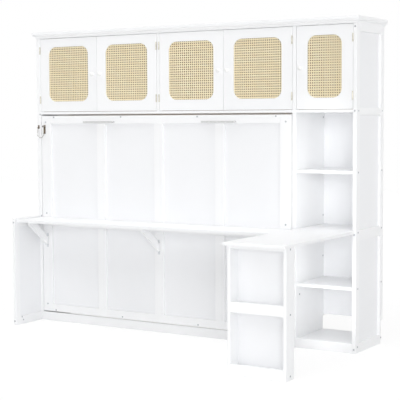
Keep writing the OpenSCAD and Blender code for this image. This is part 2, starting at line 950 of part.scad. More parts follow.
// Flanged bush for the left end rail, along X from its flange
module pivot_bush() {
    rotate([0, 90, 0]) difference() {
        union() {
            translate([0, 0, -bush_flange_t]) cylinder(h = bush_flange_t, r = bush_flange_r);
            cylinder(h = box_rail_t, r = bush_r);
        }
        translate([0, 0, -bush_flange_t - 1]) {
            cylinder(h = box_rail_t + bush_flange_t + 2, r = pivot_r + run_gap);
        }
    }
}

module pivot_bushes() {
    color(brass) placed() {
        translate([box_x, pivot_y, pivot_z]) pivot_bush();
        translate([box_x1, pivot_y, pivot_z]) mirror([1, 0, 0]) pivot_bush();
    }
}

// Plate on the bed's left stile with the headed stud of the latch
module latch_plate() {
    half_rod = latch_r + 0.3;
    color(brass) placed() translate([latch_x, 0, latch_z]) {
        block(
            [-latch_plate_w / 2, -latch_plate_t, latch_plate_over - latch_plate_h],
            [latch_plate_w / 2, 0, latch_plate_over]
        );
        rotate([90, 0, 0]) {
            cylinder(h = latch_out + half_rod + 2, r = latch_stud_r);
            cylinder(h = latch_out - half_rod, r = latch_eye_r);
            translate([0, 0, latch_out + half_rod]) cylinder(h = 2, r = latch_stud_r + 2);
        }
    }
}

// Fixed barrel and leaf of a desk hinge, in a notch of the desk's rear edge
module desk_hinge() {
    half = desk_hinge_w / 2;
    difference() {
        union() {
            translate([-half, 0, 0]) rotate([0, 90, 0]) cylinder(h = desk_hinge_w, r = desk_knuckle_r);
            block([-half, 0, -desk_knuckle_r], [half, -desk_axis_y, 0]);
            block([-half, -desk_axis_y - desk_leaf_t, -desk_leaf_h], [half, -desk_axis_y, 0]);
        }
        translate([-half - 1, 0, 0]) rotate([0, 90, 0]) {
            cylinder(h = desk_hinge_w + 2, r = desk_pin_r + run_gap);
        }
    }
}

// Upper or lower lug of a brace hinge; the leaf runs away from the brace
module brace_lug(leaf_side) {
    half = brace_t / 2;
    leaf_z = leaf_side > 0 ? 0 : lug_t - lug_leaf_h;
    block([-half, -half, 0], [half, brace_axis_out, lug_t]);
    block([-half, brace_axis_out - lug_leaf_t, leaf_z], [half, brace_axis_out, leaf_z + lug_leaf_h]);
}

module brace_hinge() {
    upper_z = brace_z + brace_end_h + lug_gap;
    lower_z = brace_z - lug_gap - lug_t;
    translate([0, 0, upper_z]) brace_lug(1);
    translate([0, 0, lower_z]) brace_lug(-1);
    translate([0, 0, lower_z]) cylinder(h = upper_z + lug_t - lower_z, r = brace_pin_r);
}

module desk_and_brace_hinges() {
    color(steel) placed() {
        for (i = [0 : desk_hinges - 1]) {
            translate([desk_x + desk_hinge_in + i * desk_hinge_pitch, desk_axis_y, desk_axis_z]) desk_hinge();
        }
        for (x = brace_xs) {
            translate([x, -brace_axis_out, 0]) brace_hinge();
        }
    }
}

// ---- Fold-down desk ----

module desk_pin_at(i, r, extra) {
    length = desk_notch_w + 2 * desk_pin_tail + 2 * extra;
    x = desk_x + desk_hinge_in + i * desk_hinge_pitch - length / 2;
    translate([x, desk_axis_y, desk_axis_z]) rotate([0, 90, 0]) cylinder(h = length, r = r);
}

module desk_board() {
    front_y = -desk_gap - desk_d;
    notch_y0 = desk_axis_y - desk_knuckle_r - 1.5;
    color(white) placed() difference() {
        block([desk_x, front_y, desk_z], [desk_x1, -desk_gap, desk_top_z]);
        for (i = [0 : desk_hinges - 1]) {
            x = desk_x + desk_hinge_in + i * desk_hinge_pitch;
            block(
                [x - desk_notch_w / 2, notch_y0, desk_z - 1],
                [x + desk_notch_w / 2, 1, desk_top_z + 1]
            );
            desk_pin_at(i, desk_pin_r + seat_gap, 0.2);
        }
    }
}

module desk_hinge_pins() {
    color(steel) placed() {
        for (i = [0 : desk_hinges - 1]) {
            desk_pin_at(i, desk_pin_r, 0);
        }
    }
}

// Diagonal brace with its pivot on the Z axis and its nose towards the front
module brace_bar() {
    upper_z = brace_z + brace_end_h;
    outline = [
        [0, brace_z], [0, upper_z], [brace_notch, upper_z],
        [brace_notch, upper_z + brace_slope * brace_notch],
        [brace_reach - brace_seat, brace_top], [brace_reach, brace_top],
        [brace_reach, brace_top - brace_nose_h]
    ];
    difference() {
        union() {
            translate([brace_t / 2, 0, 0]) rotate([90, 0, -90]) {
                linear_extrude(height = brace_t) polygon(outline);
            }
            translate([0, 0, brace_z]) cylinder(h = brace_end_h, r = brace_t / 2);
        }
        translate([0, 0, brace_z - 1]) cylinder(h = brace_end_h + 2, r = brace_pin_r + run_gap);
    }
}

module brace(n) {
    color(white) placed() translate([brace_xs[n], -brace_axis_out, 0]) brace_bar();
}

// ---- Latch ----

module latch_hook() {
    color(steel) placed() translate([latch_x, -latch_out, latch_z]) {
        difference() {
            union() {
                translate([0, latch_r, 0]) rotate([90, 0, 0]) cylinder(h = 2 * latch_r, r = latch_eye_r);
                translate([0, 0, -latch_arm]) cylinder(h = latch_arm - latch_stud_r - 1, r = latch_r);
            }
            translate([0, latch_r + 1, 0]) rotate([90, 0, 0]) {
                cylinder(h = 2 * latch_r + 2, r = latch_stud_r + run_gap);
            }
        }
        translate([-latch_bend_r, 0, -latch_arm]) rotate([-90, 0, 0]) {
            rotate_extrude(angle = 180) translate([latch_bend_r, 0]) circle(r = latch_r);
        }
        translate([-2 * latch_bend_r, 0, -latch_arm]) {
            cylinder(h = latch_arm - latch_tip_drop, r = latch_r);
        }
    }
}

// ---- Doors ----

// Prism of the cane opening of a door, enlarged by grow
module cane_shape(n, y0, y1, grow) {
    w = door_ws[n] - 2 * door_stile_w + 2 * grow;
    h = door_z1 - door_z - door_rail_top_w - door_rail_low_w + 2 * grow;
    centre_z = (door_z + door_rail_low_w + door_z1 - door_rail_top_w) / 2;
    corner_r = min(cane_r + grow, min(w, h) / 2 - cane_corner_land);
    translate([door_xs[n] + door_ws[n] / 2, y1, centre_z]) rotate([90, 0, 0]) {
        linear_extrude(height = y1 - y0) rounded_rect(w, h, corner_r);
    }
}

module door_frame(n) {
    color(white) placed() difference() {
        block([door_xs[n], 0, door_z], [door_xs[n] + door_ws[n], door_t, door_z1]);
        cane_shape(n, -1, door_t + 1, 0);
        cane_shape(n, cane_inset, door_t + 1, cane_lap);
    }
}

module door_cane(n) {
    color(straw) placed() cane_shape(n, cane_inset, cane_inset + cane_t, cane_lap - 0.5);
}

// Turned knob on the Z axis, from its foot up
module knob() {
    neck = knob_r * 0.42;
    rotate_extrude() {
        intersection() {
            union() {
                square([neck, knob_out - knob_r]);
                square([knob_r * 0.6, 2]);
                translate([0, knob_out - knob_r * 0.72]) scale([1, 0.72]) circle(r = knob_r);
            }
            square([knob_r, knob_out]);
        }
    }
}

module door_fittings(n) {
    side = door_sides[n];
    knob_x = side < 0 ? door_xs[n] + door_ws[n] - knob_in : door_xs[n] + knob_in;
    placed() {
        color(brass) at_hinges(n) {
            hinge_leaf([[knuckle_h + knuckle_gap, 2 * knuckle_h - knuckle_gap]]);
        }
        color(knob_white) translate([knob_x, 0, knob_z]) rotate([90, 0, 0]) knob();
    }
}

side_posts();
side_rails();
side_panels();
divider_panel();
cupboard_floor_boards();
cupboard_top_boards();
cupboard_partition();
front_top_rails();
upper_back_panel();
bay_back_panel();
back_stretchers();
plinth_rails();
bay_shelves();
crown_board();
crown_cove_front();
crown_cove_sides();
return_desk_top();
support_cleats();
rack_sides();
rack_shelves();
rack_rails();
rack_back_panel();
cabinet_bolts();
cabinet_brassware();
pivot_plates();
bed_outer_stiles();
bed_face_rails();
bed_inner_stiles();
bed_face_panels();
bed_side_rails();
bed_end_rails();
slat_ledges();
slats();
bed_handles();
bed_bolts();
pivot_bushes();
latch_plate();
desk_and_brace_hinges();
desk_board();
desk_hinge_pins();
brace(0);  // brace_left
brace(1);  // brace_middle
brace(2);  // brace_right
latch_hook();
door_frame(0);  // door_1_frame
door_cane(0);  // door_1_cane
door_fittings(0);  // door_1_fittings
door_frame(1);  // door_2_frame
door_cane(1);  // door_2_cane
door_fittings(1);  // door_2_fittings
door_frame(2);  // door_3_frame
door_cane(2);  // door_3_cane
door_fittings(2);  // door_3_fittings
door_frame(3);  // door_4_frame
door_cane(3);  // door_4_cane
door_fittings(3);  // door_4_fittings
door_frame(4);  // door_5_frame
door_cane(4);  // door_5_cane
door_fittings(4);  // door_5_fittings
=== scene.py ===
"""Dresses the wall bed with fold-down desk.

The boards get eased edges and brushed paint, the doors get woven cane and turned knobs, and
the fittings get brass, zinc, bronze and steel.
"""

import logging
import math
import random
from dataclasses import dataclass
from enum import Enum

import bmesh
import bpy
from mathutils import Matrix, Vector

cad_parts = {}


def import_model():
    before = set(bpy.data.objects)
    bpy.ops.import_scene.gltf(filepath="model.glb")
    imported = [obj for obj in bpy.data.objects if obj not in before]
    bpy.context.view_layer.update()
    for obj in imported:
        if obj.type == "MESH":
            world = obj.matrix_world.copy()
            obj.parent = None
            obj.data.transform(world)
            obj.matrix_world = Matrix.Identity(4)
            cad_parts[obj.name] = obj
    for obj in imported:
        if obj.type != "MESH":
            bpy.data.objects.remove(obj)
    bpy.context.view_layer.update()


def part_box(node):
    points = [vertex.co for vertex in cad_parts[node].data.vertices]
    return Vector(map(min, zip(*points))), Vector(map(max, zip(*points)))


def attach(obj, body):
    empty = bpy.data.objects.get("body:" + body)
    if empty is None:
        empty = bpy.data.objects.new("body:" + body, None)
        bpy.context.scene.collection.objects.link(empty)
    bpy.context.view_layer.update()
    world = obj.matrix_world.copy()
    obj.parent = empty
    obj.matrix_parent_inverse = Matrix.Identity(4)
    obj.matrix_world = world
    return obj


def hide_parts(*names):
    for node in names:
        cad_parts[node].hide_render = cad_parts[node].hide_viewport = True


LOG = logging.getLogger("wall_bed")
DOOR_COUNT = 5

# A colour as the eye reads it, and a point or a direction in metres.
Colour = tuple[float, float, float]
Place = tuple[float, float, float]

# The numbers that a mesh carries for its materials: the tone of a board or of a strand.
TONE = "board_tone"
STRAND_TONE = "strand_tone"

# Vertices of a CAD node nearer than this, in metres, are one.
MERGE_DISTANCE = 1e-6
# Faces of a CAD node that differ by less than this, in degrees, are one flat face.
FLAT_ANGLE = 0.5
# A noise lies mostly between these two values.
NOISE_LOW, NOISE_HIGH = 0.3, 0.7
# The places of the sockets of a colour mix node, because several share a name.
MIX_FACTOR, MIX_FIRST, MIX_SECOND, MIX_RESULT = 0, 6, 7, 2
# The standard curve from a colour as the eye reads it to the linear one.
CURVE_KNEE, CURVE_SLOPE, CURVE_LIFT, CURVE_POWER = 0.04045, 12.92, 0.055, 2.4


class Run(Enum):
    """The axis that the grain or the brush strokes of a board follow."""

    X = 0
    Y = 1
    Z = 2


class Strand(Enum):
    """The four directions of the strands in cane webbing, in degrees about Y from level."""

    LEVEL = 0.0
    UPRIGHT = 90.0
    RISING = 45.0
    FALLING = -45.0


class Slot(Enum):
    """The material slots of the record."""

    WHITE_PAINT = "white_paint"
    WHITE_PANEL = "white_panel"
    # This slot's ply colour is painted shade inside the cupboards, seen through the cane.
    PLYWOOD = "plywood"
    PINE = "pine"
    CANE = "cane"
    BRASS = "brass"
    BOLT_STEEL = "bolt_steel"
    FITTING_STEEL = "fitting_steel"
    SATIN_GREY = "satin_grey"


# ---------------------------------------------------------------- finishes


@dataclass(frozen=True)
class Pattern:
    """A noise in a finish.

    It has a scale, a number of octaves, and a factor on the scale along the run, which draws
    the noise out where it is below 1.
    """

    scale: float
    octaves: float
    drawn: float = 1.0


class NodeBench:
    """A material under construction: one principled shader and the nodes that feed it."""

    def __init__(self, name: str) -> None:
        """Starts a material.

        Args:
            name: the name of the new material.
        """
        self.material = bpy.data.materials.new(name)
        self.material.use_nodes = True
        self.tree = self.material.node_tree
        self.shader = self.tree.nodes["Principled BSDF"]

    def add(self, kind: str, **settings: object) -> bpy.types.Node:
        """Adds a node.

        Args:
            kind: the node type's identifier.
            **settings: attributes that are set on the node.

        Returns:
            The new node.
        """
        node = self.tree.nodes.new(kind)
        for key, value in settings.items():
            setattr(node, key, value)
        return node

    def join(self, source: bpy.types.NodeSocket, target: bpy.types.NodeSocket) -> None:
        """Links one socket to another."""
        self.tree.links.new(source, target)

    def feed(self, name: str, source: bpy.types.NodeSocket) -> None:
        """Links a socket to one of the shader's own."""
        self.join(source, self.shader.inputs[name])

    def pattern(
        self, pattern: Pattern, run: Run = Run.X, turn: float = 0.0
    ) -> bpy.types.NodeSocket:
        """Adds a noise on object coordinates.

        Args:
            pattern: the noise.
            run: the axis along which it is drawn out.
            turn: how far that axis is turned about Y, in degrees.

        Returns:
            The socket with the noise's value.
        """
        coordinates = self.add("ShaderNodeTexCoord")
        turned = self.add("ShaderNodeMapping")
        turned.inputs["Rotation"].default_value = (0.0, math.radians(turn), 0.0)
        drawn = self.add("ShaderNodeMapping")
        drawn.inputs["Scale"].default_value[run.value] = pattern.drawn
        noise = self.add("ShaderNodeTexNoise")
        noise.inputs["Scale"].default_value = pattern.scale
        noise.inputs["Detail"].default_value = pattern.octaves
        self.join(coordinates.outputs["Object"], turned.inputs["Vector"])
        self.join(turned.outputs["Vector"], drawn.inputs["Vector"])
        self.join(drawn.outputs["Vector"], noise.inputs["Vector"])
        return noise.outputs[0]

    def spread(
        self, noise: bpy.types.NodeSocket, low: float, high: float
    ) -> bpy.types.NodeSocket:
        """Spreads a noise between two limits.

        Args:
            noise: the socket with the noise's value.
            low: the result where the noise is low.
            high: the result where it is high.

        Returns:
            The socket with the spread value.
        """
        node = self.add("ShaderNodeMapRange")
        node.inputs["From Min"].default_value = NOISE_LOW
        node.inputs["From Max"].default_value = NOISE_HIGH
        node.inputs["To Min"].default_value = low
        node.inputs["To Max"].default_value = high
        self.join(noise, node.inputs["Value"])
        return node.outputs[0]

    def blend(
        self,
        factor: bpy.types.NodeSocket,
        first: "Colour | bpy.types.NodeSocket",
        second: "Colour | bpy.types.NodeSocket",
    ) -> bpy.types.NodeSocket:
        """Mixes two colours.

        Args:
            factor: the socket that chooses between them.
            first: a linear colour or a socket, shown at 0.
            second: a linear colour or a socket, shown at 1.

        Returns:
            The socket with the mixed colour.
        """
        node = self.add("ShaderNodeMix", data_type="RGBA")
        self.join(factor, node.inputs[MIX_FACTOR])
        for source, place in ((first, MIX_FIRST), (second, MIX_SECOND)):
            if isinstance(source, bpy.types.NodeSocket):
                self.join(source, node.inputs[place])
            else:
                node.inputs[place].default_value = (*source, 1.0)
        return node.outputs[MIX_RESULT]

    def attribute(self, name: str) -> bpy.types.NodeSocket:
        """Reads a number that the piece's own mesh carries."""
        return self.add("ShaderNodeAttribute", attribute_name=name).outputs["Fac"]

    def bump(self, height: bpy.types.NodeSocket, strength: float, distance: float) -> None:
        """Turns a height into the shader's normal.

        Args:
            height: the socket with the height.
            strength: how much of it shows.
            distance: the height in metres between 0 and 1.
        """
        node = self.add("ShaderNodeBump")
        node.inputs["Strength"].default_value = strength
        node.inputs["Distance"].default_value = distance
        self.join(height, node.inputs["Height"])
        self.feed("Normal", node.outputs["Normal"])

    def sockets(self, **values: float) -> None:
        """Sets the shader's own numbers; an underscore in a key stands for a space."""
        for key, value in values.items():
            self.shader.inputs[key.replace("_", " ")].default_value = value


def linear(colour: Colour) -> Colour:
    """Turns a colour as the eye reads it into the linear one that a shader takes.

    Args:
        colour: the colour as the eye reads it.

    Returns:
        The linear colour.
    """
    return tuple(
        value / CURVE_SLOPE
        if value <= CURVE_KNEE
        else ((value + CURVE_LIFT) / (1.0 + CURVE_LIFT)) ** CURVE_POWER
        for value in colour
    )


@dataclass(frozen=True)
class SatinPaint:
    """White satin paint, brushed along the board, with a slightly different tone on each board."""

    name: str
    bright: Colour = (0.978, 0.980, 0.984)
    dull: Colour = (0.962, 0.965, 0.970)
    roughness: float = 0.40
    relief: float = 0.09
    strokes: Pattern = Pattern(620.0, 4.0, 0.035)
    patches: Pattern = Pattern(5.0, 3.0)
    stroke_share: float = 0.25
    patch_share: float = 0.5
    stroke_height: float = 0.00025
    smoother: float = 0.05
    rougher: float = 0.07
    refraction: float = 1.47

    def mix(self, run: Run) -> bpy.types.Material:
        """Makes the paint with its strokes along one axis.

        Args:
            run: the axis of the strokes.

        Returns:
            The material.
        """
        bench = NodeBench(f"{self.name}_{run.name.lower()}")
        bright, dull = linear(self.bright), linear(self.dull)
        strokes = bench.pattern(self.strokes, run)
        patches = bench.spread(bench.pattern(self.patches), 0.0, self.patch_share)
        tone = bench.blend(bench.attribute(TONE), dull, bright)
        clouded = bench.blend(patches, tone, bright)
        brushed = bench.blend(bench.spread(strokes, self.stroke_share, 0.0), clouded, dull)
        sheen = bench.spread(
            strokes, self.roughness - self.smoother, self.roughness + self.rougher
        )
        bench.feed("Base Color", brushed)
        bench.feed("Roughness", sheen)
        bench.bump(strokes, self.relief, self.stroke_height)
        bench.sockets(IOR=self.refraction)
        return bench.material


@dataclass(frozen=True)
class Timber:
    """Planed softwood: pale rings drawn out along the board, with darker late wood."""

    name: str
    early: Colour = (0.90, 0.79, 0.61)
    late: Colour = (0.78, 0.61, 0.40)
    rings: Pattern = Pattern(55.0, 2.0, 0.06)
    fibres: Pattern = Pattern(900.0, 4.0, 0.06)
    fibre_share: float = 0.25
    roughness: tuple[float, float] = (0.50, 0.66)
    relief: float = 0.3
    fibre_height: float = 0.0003

    def mix(self, run: Run) -> bpy.types.Material:
        """Makes the timber with its grain along one axis.

        Args:
            run: the axis of the grain.

        Returns:
            The material.
        """
        bench = NodeBench(f"{self.name}_{run.name.lower()}")
        early, late = linear(self.early), linear(self.late)
        rings = bench.spread(bench.pattern(self.rings, run), 0.0, 1.0)
        fibres = bench.pattern(self.fibres, run)
        wood = bench.blend(rings, early, late)
        grain = bench.blend(bench.spread(fibres, self.fibre_share, 0.0), wood, late)
        bench.feed("Base Color", grain)
        bench.feed("Roughness", bench.spread(fibres, *self.roughness))
        bench.bump(fibres, self.relief, self.fibre_height)
        return bench.material


@dataclass(frozen=True)
class Straw:
    """Peeled cane: shiny straw-coloured fibre, each strand with its own tone."""

    name: str = "peeled_cane"
    pale: Colour = (1.000, 0.978, 0.880)
    deep: Colour = (1.000, 0.945, 0.805)
    streak: Colour = (0.92, 0.81, 0.60)
    fibres: Pattern = Pattern(1500.0, 3.0, 0.05)
    patches: Pattern = Pattern(70.0, 2.0, 0.25)
    streak_share: float = 0.30
    roughness: tuple[float, float] = (0.36, 0.52)
    relief: float = 0.35
    fibre_height: float = 0.0002

    def mix(self, strand: Strand) -> bpy.types.Material:
        """Makes the cane with its fibres along one direction of strand.

        Args:
            strand: the direction.

        Returns:
            The material.
        """
        bench = NodeBench(f"{self.name}_{strand.name.lower()}")
        streak = linear(self.streak)
        fibres = bench.pattern(self.fibres, Run.X, strand.value)
        patches = bench.pattern(self.patches, Run.X, strand.value)
        own = bench.blend(bench.attribute(STRAND_TONE), linear(self.deep), linear(self.pale))
        aged = bench.blend(bench.spread(patches, self.streak_share, 0.0), own, streak)
        peeled = bench.blend(bench.spread(fibres, self.streak_share, 0.0), aged, streak)
        bench.feed("Base Color", peeled)
        bench.feed("Roughness", bench.spread(fibres, *self.roughness))
        bench.bump(fibres, self.relief, self.fibre_height)
        return bench.material


@dataclass(frozen=True)
class Metal:
    """Metal with cloudy tarnish and fine scratches."""

    name: str
    bright: Colour
    dull: Colour
    roughness: float
    clouds: Pattern = Pattern(90.0, 4.0)
    scratches: Pattern = Pattern(2400.0, 2.0, 0.12)
    smoother: float = 0.06
    rougher: float = 0.10
    relief: float = 0.12
    scratch_height: float = 0.0001

    def mix(self) -> bpy.types.Material:
        """Makes the metal.

        Returns:
            The material.
        """
        bench = NodeBench(self.name)
        clouds = bench.pattern(self.clouds)
        tarnish = bench.blend(
            bench.spread(clouds, 0.0, 1.0), linear(self.bright), linear(self.dull)
        )
        sheen = bench.spread(
            clouds, self.roughness - self.smoother, self.roughness + self.rougher
        )
        bench.feed("Base Color", tarnish)
        bench.feed("Roughness", sheen)
        bench.bump(bench.pattern(self.scratches, Run.Z), self.relief, self.scratch_height)
        bench.sockets(Metallic=1.0)
        return bench.material


@dataclass(frozen=True)
class Lacquer:
    """Thick white lacquer on a turned knob."""

    name: str = "knob_lacquer"
    colour: Colour = (0.985, 0.985, 0.985)
    shade: Colour = (0.965, 0.965, 0.965)
    dips: Pattern = Pattern(160.0, 2.0)
    roughness: tuple[float, float] = (0.26, 0.34)
    relief: float = 0.06
    dip_height: float = 0.0004
    coat: float = 0.5
    coat_roughness: float = 0.08

    def mix(self) -> bpy.types.Material:
        """Makes the lacquer.

        Returns:
            The material.
        """
        bench = NodeBench(self.name)
        dips = bench.pattern(self.dips)
        depth = bench.spread(dips, 0.0, 1.0)
        bench.feed("Base Color", bench.blend(depth, linear(self.colour), linear(self.shade)))
        bench.feed("Roughness", bench.spread(dips, *self.roughness))
        bench.bump(dips, self.relief, self.dip_height)
        bench.sockets(Coat_Weight=self.coat, Coat_Roughness=self.coat_roughness)
        return bench.material


@dataclass(frozen=True)
class Coat:
    """What goes on a piece: its materials, and the record's slot for them, if there is one."""

    materials: list[bpy.types.Material]
    slot: "Slot | None" = None


class FinishShelf:
    """Every finish of the object, mixed once."""

    def __init__(self) -> None:
        """Mixes the finishes."""
        paint = SatinPaint("board_paint")
        smooth_paint = SatinPaint("moulding_paint", relief=0.025)
        panel_paint = SatinPaint(
            "panel_paint", (0.960, 0.963, 0.970), (0.948, 0.952, 0.960), 0.44, 0.06
        )
        # The brown ply colour goes on the cupboards' inside faces and back panel. It is darker
        # than the white paint, as painted shade seen through the cane's holes.
        sheet = Timber("cupboard_shade_ply", (0.66, 0.53, 0.39), (0.57, 0.45, 0.32))
        self.board = self.by_run(paint, Slot.WHITE_PAINT)
        self.moulding = self.by_run(smooth_paint, Slot.WHITE_PAINT)
        self.panel = self.by_run(panel_paint, Slot.WHITE_PANEL)
        self.pine = self.by_run(Timber("planed_pine"), Slot.PINE)
        self.shade_ply = self.by_run(sheet, Slot.PLYWOOD)

        brass = Metal("hinge_brass", (0.84, 0.825, 0.78), (0.74, 0.725, 0.68), 0.34)
        zinc = Metal("socket_head_zinc", (0.84, 0.85, 0.86), (0.72, 0.73, 0.74), 0.40)
        bronze = Metal("latch_bronze", (0.56, 0.51, 0.45), (0.42, 0.38, 0.33), 0.40)
        steel = Metal("plate_steel", (0.93, 0.94, 0.95), (0.86, 0.87, 0.88), 0.46)
        rod = Metal("latch_rod_steel", (0.80, 0.80, 0.79), (0.66, 0.65, 0.64), 0.28)
        satin = Metal("handle_satin", (0.87, 0.87, 0.87), (0.81, 0.81, 0.81), 0.40)
        self.brass = Coat([brass.mix()], Slot.BRASS)
        self.zinc = Coat([zinc.mix()], Slot.BOLT_STEEL)
        self.bronze = Coat([bronze.mix()], Slot.BRASS)
        self.steel = Coat([steel.mix()], Slot.FITTING_STEEL)
        self.rod = Coat([rod.mix()], Slot.FITTING_STEEL)
        self.satin = Coat([satin.mix()], Slot.SATIN_GREY)

        self.cane = Coat([Straw().mix(strand) for strand in Strand], Slot.CANE)
        self.lacquer = Coat([Lacquer().mix()])

    @staticmethod
    def by_run(finish: "SatinPaint | Timber", slot: Slot) -> Coat:
        """Mixes a finish along X, Y and Z."""
        return Coat([finish.mix(run) for run in Run], slot)


# ---------------------------------------------------------------- mesh helpers


def opened(node: str) -> bmesh.types.BMesh:
    """Copies a CAD node's mesh, with its loose triangles merged into closed solids.

    Args:
        node: the name of the CAD node.

    Returns:
        The merged copy.
    """
    copy = bmesh.new()
    copy.from_mesh(bpy.data.objects[node].data)
    bmesh.ops.remove_doubles(copy, verts=copy.verts, dist=MERGE_DISTANCE)
    return copy


def solids(mesh: bmesh.types.BMesh) -> list[list[bmesh.types.BMVert]]:
    """Finds the separate solids of a mesh.

    Args:
        mesh: the mesh.

    Returns:
        The vertices of each solid, in the order of the mesh.
    """
    found: list[list[bmesh.types.BMVert]] = []
    seen: set[bmesh.types.BMVert] = set()
    for first in mesh.verts:
        if first in seen:
            continue
        seen.add(first)
        group, front = [], [first]
        while front:
            vertex = front.pop()
            group.append(vertex)
            for edge in vertex.link_edges:
                other = edge.other_vert(vertex)
                if other not in seen:
                    seen.add(other)
                    front.append(other)
        found.append(group)
    return found


def spans(vertices: list[bmesh.types.BMVert]) -> tuple[Vector, Vector]:
    """Finds the box round some vertices.

    Args:
        vertices: the vertices.

    Returns:
        Its lowest and its highest corner.
    """
    low = Vector([min(v.co[i] for v in vertices) for i in range(3)])
    high = Vector([max(v.co[i] for v in vertices) for i in range(3)])
    return low, high


def ease(
    mesh: bmesh.types.BMesh, width: float, segments: int = 2, angle: float = 30.0
) -> None:
    """Rounds every sharp edge of a mesh.

    Args:
        mesh: the mesh, already merged.
        width: how far each edge is cut back.
        segments: the faces across the rounding.
        angle: the angle in degrees from which an edge counts as sharp.
    """
    bmesh.ops.dissolve_limit(
        mesh,
        angle_limit=math.radians(FLAT_ANGLE),
        verts=mesh.verts,
        edges=mesh.edges,
        delimit=set(),
    )
    limit = math.radians(angle)
    sharp = [e for e in mesh.edges if e.is_manifold and e.calc_face_angle(0.0) > limit]
    bmesh.ops.bevel(
        mesh,
        geom=sharp,
        offset=width,
        offset_type="OFFSET",
        affect="EDGES",
        segments=segments,
        profile=0.5,
        material=-1,
        clamp_overlap=True,
        loop_slide=True,
    )


def finished(
    mesh: bmesh.types.BMesh,
    name: str,
    materials: list[bpy.types.Material],
    smooth_angle: float,
) -> bpy.types.Object:
    """Turns a mesh into an object at the origin, with smooth roundings and flat faces.

    Args:
        mesh: the finished mesh, freed by this call.
        name: the name of the piece.
        materials: its materials, in the order of the faces' material indices.
        smooth_angle: the angle in degrees above which an edge stays sharp.

    Returns:
        The object.
    """
    data = bpy.data.meshes.new(name)
    mesh.to_mesh(data)
    mesh.free()
    for material in materials:
        data.materials.append(material)
    data.shade_smooth()
    data.set_sharp_from_angle(angle=math.radians(smooth_angle))
    piece = bpy.data.objects.new(name, data)
    bpy.context.scene.collection.objects.link(piece)
    piece.modifiers.new("even_shading", "WEIGHTED_NORMAL").keep_sharp = True
    return piece


def mark_runs(mesh: bmesh.types.BMesh, seed: int) -> None:
    """Gives each board of a mesh the material of its longest side and a tone of its own.

    Args:
        mesh: the mesh, one solid per board.
        seed: the seed of the tones.
    """
    tones = mesh.verts.layers.float.new(TONE)
    chance = random.Random(seed)
    for board in solids(mesh):
        low, high = spans(board)
        size = high - low
        longest = max(range(3), key=lambda i: size[i])
        tone = chance.random()
        for vertex in board:
            vertex[tones] = tone
            for face in vertex.link_faces:
                face.material_index = longest


# ---------------------------------------------------------------- sub-assemblies


@dataclass
class SubAssembly:
    """What every sub-assembly shares: its finishes, its eased edges, and how it adds a piece."""

    finishes: FinishShelf
    board_ease: float = 0.0014
    panel_ease: float = 0.0005
    metal_ease: float = 0.0004
    metal_angle: float = 40.0

    def declare(
        self,
        mesh: bmesh.types.BMesh,
        name: str,
        body: str,
        coat: Coat,
        node: str,
        smooth_angle: float = 50.0,
    ) -> bpy.types.Object:
        """Makes a piece of a mesh and puts it on its body, in place of its CAD node.

        Args:
            mesh: the finished mesh, freed by this call.
            name: the name of the piece.
            body: the CAD body that it rides on.
            coat: its materials.
            node: the CAD node that it stands for.
            smooth_angle: the angle in degrees above which an edge stays sharp.

        Returns:
            The piece.
        """
        piece = finished(mesh, name, coat.materials, smooth_angle)
        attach(piece, body)
        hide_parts(node)
        LOG.info("%s on %s: %d faces", name, body, len(piece.data.polygons))
        return piece

    def eased(self, node: str, width: float) -> bmesh.types.BMesh:
        """Copies a node of boards, with eased edges and the run and the tone of each board.

        Args:
            node: the CAD node.
            width: how far the edges are eased.

        Returns:
            The mesh.
        """
        mesh = opened(node)
        ease(mesh, width)
        mark_runs(mesh, sum(ord(letter) for letter in node))
        return mesh

    def boards(self, node: str, body: str, coat: Coat, width: float) -> None:
        """Adds a node of boards, with eased edges and the grain along each board.

        Args:
            node: the CAD node.
            body: the body that it rides on.
            coat: the finish along X, Y and Z.
            width: how far the edges are eased.
        """
        self.declare(self.eased(node, width), f"{node}_eased", body, coat, node)

    def fitting(
        self, node: str, body: str, coat: Coat, width: "float | None" = None
    ) -> bpy.types.Object:
        """Adds a node of metal fittings, with broken edges and smooth curved faces.

        Args:
            node: the CAD node.
            body: the body that it rides on.
            coat: its finish.
            width: how far the edges are broken, where it isn't as on most fittings.

        Returns:
            The piece.
        """
        mesh = opened(node)
        ease(mesh, width or self.metal_ease, segments=1, angle=self.metal_angle)
        return self.declare(mesh, f"{node}_broken_edges", body, coat, node)


